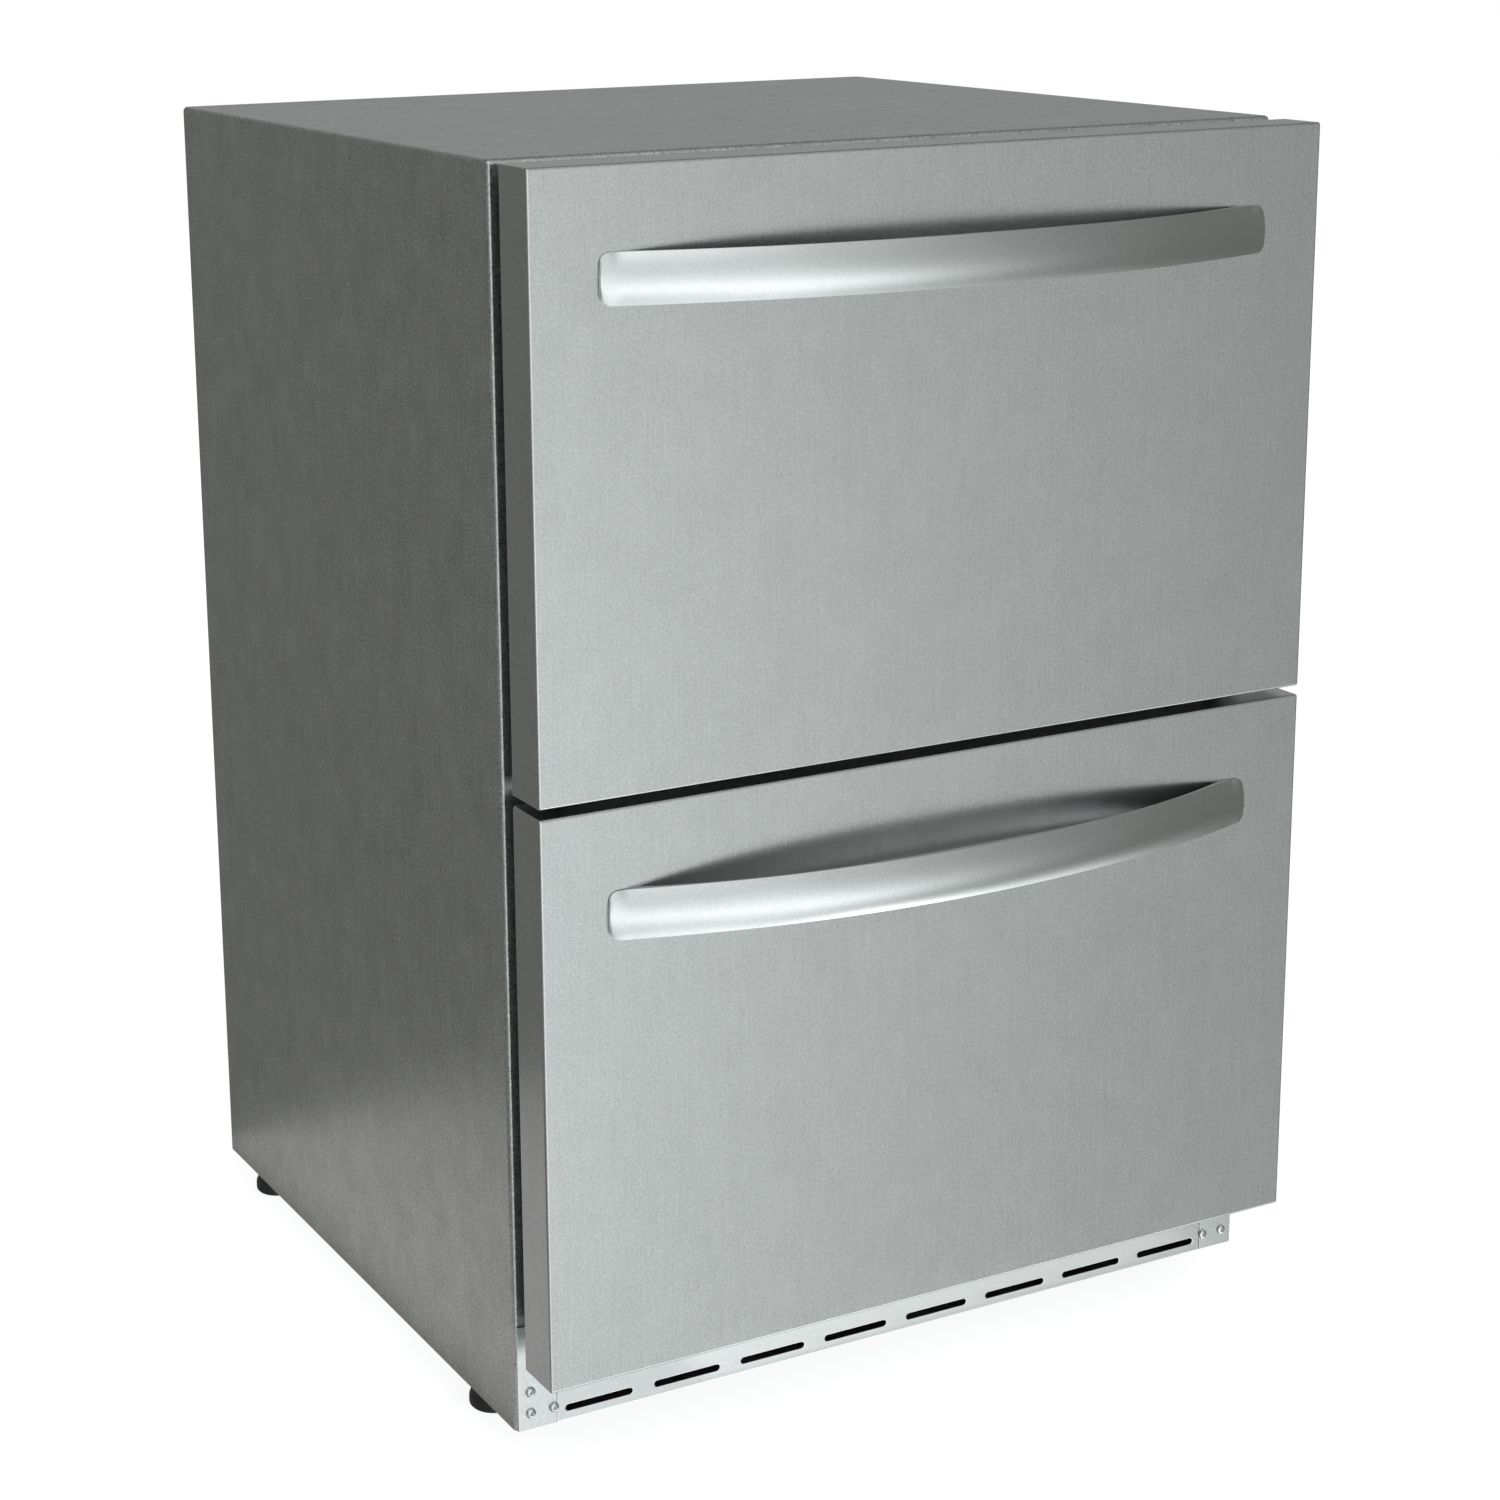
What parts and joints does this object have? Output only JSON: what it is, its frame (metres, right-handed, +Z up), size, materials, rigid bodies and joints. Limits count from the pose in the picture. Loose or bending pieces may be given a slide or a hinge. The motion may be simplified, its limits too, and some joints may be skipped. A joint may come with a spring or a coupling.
{
  "type": "under-counter drawer refrigerator",
  "caption": "Free-standing stainless under-counter refrigerator with pull-out drawers, bowed strap handles, slotted kick strip, levelling feet and a rear machine compartment.",
  "frame": {"origin": "centre of the overall footprint, on the floor that the feet stand on", "axes": "+Z up, drawer fronts face -Y, +X to the right as seen from the front"},
  "size_m": [0.603, 0.64, 0.876],
  "materials": {
    "stainless": "satin stainless sheet, fine vertical grain",
    "handle_steel": "satin stainless bar, fine grain along its length",
    "galvanised": "dull galvanised sheet",
    "bright_steel": "bright stainless bracket and screws",
    "slide_steel": "bright zinc-plated slide members",
    "liner_steel": "satin stainless lining sheet",
    "foam": "rigid polyurethane foam, cream",
    "black_plastic": "black moulded plastic",
    "grey_plastic": "grey moulded plastic",
    "seal_rubber": "near-black magnetic door seal",
    "white_plastic": "white moulded plastic",
    "lamp_lens": "frosted white lamp lens",
    "black_enamel": "black enamelled steel",
    "aluminium": "plain aluminium fins",
    "copper": "bare copper tube"
  },
  "bodies": {
    "root": {"outer_wrap": "stainless", "back_panel": "galvanised", "rear_machine_cover": "galvanised", "base_pan": "galvanised", "case_floor": "galvanised", "inner_liner": "liner_steel", "insulation_foam": "foam", "front_frame": "grey_plastic", "centre_rail": "stainless", "kick_grille": "stainless", "corner_bracket_left": "bright_steel", "corner_bracket_right": "bright_steel", "kick_screw_1": "bright_steel", "kick_screw_2": "bright_steel", "kick_screw_3": "bright_steel", "kick_screw_4": "bright_steel", "kick_screw_5": "bright_steel", "kick_screw_6": "bright_steel", "compressor": "black_enamel", "condenser_coil": "black_enamel", "condenser_fan_shroud": "galvanised", "filter_drier": "copper", "liquid_tube": "copper", "evaporator_coil": "aluminium", "evaporator_cover": "liner_steel", "evaporator_fan_motor": "grey_plastic", "control_housing": "grey_plastic", "interior_light": "lamp_lens", "cord_gland": "black_plastic", "upper_slide_rail_left": "slide_steel", "upper_slide_rail_right": "slide_steel", "lower_slide_rail_left": "slide_steel", "lower_slide_rail_right": "slide_steel"},
    "condenser_fan": {"condenser_fan": "black_plastic"},
    "evaporator_fan": {"evaporator_fan": "white_plastic"},
    "set_button": {"set_button": "white_plastic"},
    "up_button": {"up_button": "white_plastic"},
    "down_button": {"down_button": "white_plastic"},
    "foot_front_left": {"foot_front_left": "black_plastic"},
    "foot_front_right": {"foot_front_right": "black_plastic"},
    "foot_rear_left": {"foot_rear_left": "black_plastic"},
    "foot_rear_right": {"foot_rear_right": "black_plastic"},
    "upper_slides": {"upper_slide_middle_left": "slide_steel", "upper_slide_middle_right": "slide_steel"},
    "upper_drawer": {"upper_drawer_front": "stainless", "upper_drawer_core": "white_plastic", "upper_drawer_gasket": "seal_rubber", "upper_drawer_handle": "handle_steel", "upper_drawer_tray": "liner_steel", "upper_slide_runner_left": "slide_steel", "upper_slide_runner_right": "slide_steel"},
    "lower_slides": {"lower_slide_middle_left": "slide_steel", "lower_slide_middle_right": "slide_steel"},
    "lower_drawer": {"lower_drawer_front": "stainless", "lower_drawer_core": "white_plastic", "lower_drawer_gasket": "seal_rubber", "lower_drawer_handle": "handle_steel", "lower_drawer_tray": "liner_steel", "lower_slide_runner_left": "slide_steel", "lower_slide_runner_right": "slide_steel"}
  },
  "joints": [
    {"name": "upper_drawer_slide", "type": "slide", "parent": "root", "child": "upper_drawer", "axis": [0, -1, 0], "range_m": [0, 0.4]},
    {"name": "upper_slides_travel", "type": "slide", "parent": "root", "child": "upper_slides", "axis": [0, -1, 0], "range_m": [0, 0.2]},
    {"name": "lower_drawer_slide", "type": "slide", "parent": "root", "child": "lower_drawer", "axis": [0, -1, 0], "range_m": [0, 0.4]},
    {"name": "lower_slides_travel", "type": "slide", "parent": "root", "child": "lower_slides", "axis": [0, -1, 0], "range_m": [0, 0.2]},
    {"name": "condenser_fan_spin", "type": "hinge", "parent": "root", "child": "condenser_fan", "pos_m": [-0.155, 0.2, 0.118], "axis": [0, 1, 0], "continuous": true},
    {"name": "evaporator_fan_spin", "type": "hinge", "parent": "root", "child": "evaporator_fan", "pos_m": [0, 0.233, 0.7], "axis": [0, 1, 0], "continuous": true},
    {"name": "set_button_press", "type": "slide", "parent": "root", "child": "set_button", "axis": [0, 1, 0], "range_m": [0, 0.0015], "stiffness_N_per_m": 400, "springref_m": -0.0005},
    {"name": "up_button_press", "type": "slide", "parent": "root", "child": "up_button", "axis": [0, 1, 0], "range_m": [0, 0.0015], "stiffness_N_per_m": 400, "springref_m": -0.0005},
    {"name": "down_button_press", "type": "slide", "parent": "root", "child": "down_button", "axis": [0, 1, 0], "range_m": [0, 0.0015], "stiffness_N_per_m": 400, "springref_m": -0.0005},
    {"name": "foot_front_left_height", "type": "slide", "parent": "root", "child": "foot_front_left", "axis": [0, 0, -1], "range_m": [0, 0.02]},
    {"name": "foot_front_right_height", "type": "slide", "parent": "root", "child": "foot_front_right", "axis": [0, 0, -1], "range_m": [0, 0.02]},
    {"name": "foot_rear_left_height", "type": "slide", "parent": "root", "child": "foot_rear_left", "axis": [0, 0, -1], "range_m": [0, 0.02]},
    {"name": "foot_rear_right_height", "type": "slide", "parent": "root", "child": "foot_rear_right", "axis": [0, 0, -1], "range_m": [0, 0.02]}
  ],
  "couplings": [
    {"joint": "upper_slides_travel", "follows": "upper_drawer_slide", "ratio": 0.5},
    {"joint": "lower_slides_travel", "follows": "lower_drawer_slide", "ratio": 0.5}
  ]
}
